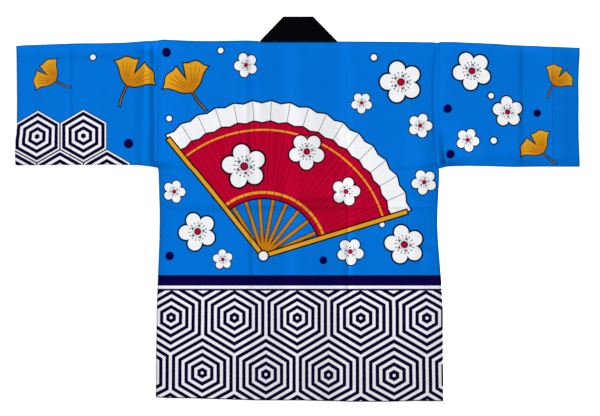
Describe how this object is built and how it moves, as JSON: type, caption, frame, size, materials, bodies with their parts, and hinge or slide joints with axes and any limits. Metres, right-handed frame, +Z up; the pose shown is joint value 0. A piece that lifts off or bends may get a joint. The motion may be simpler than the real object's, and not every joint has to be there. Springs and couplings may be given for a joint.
{
  "type": "happi coat",
  "caption": "Straight cotton festival coat with wide square sleeves and a doubled black collar band, laid out flat on its front with its back upwards.",
  "frame": {"origin": "on the floor under the middle of the laid-out coat's box", "axes": "+X along the spread sleeves, towards the wearer's right; +Y from the hem to the collar; +Z up, out of the coat's back"},
  "size_m": [1.3, 0.8848, 0.0061],
  "materials": {
    "printed_cotton": "smooth printed cotton, low sheen",
    "collar_cotton": "plain black cotton, doubled"
  },
  "bodies": {
    "root": {"back": "printed_cotton", "front_left": "printed_cotton", "front_right": "printed_cotton", "sleeve_left": "printed_cotton", "sleeve_right": "printed_cotton", "collar": "collar_cotton"}
  },
  "joints": []
}
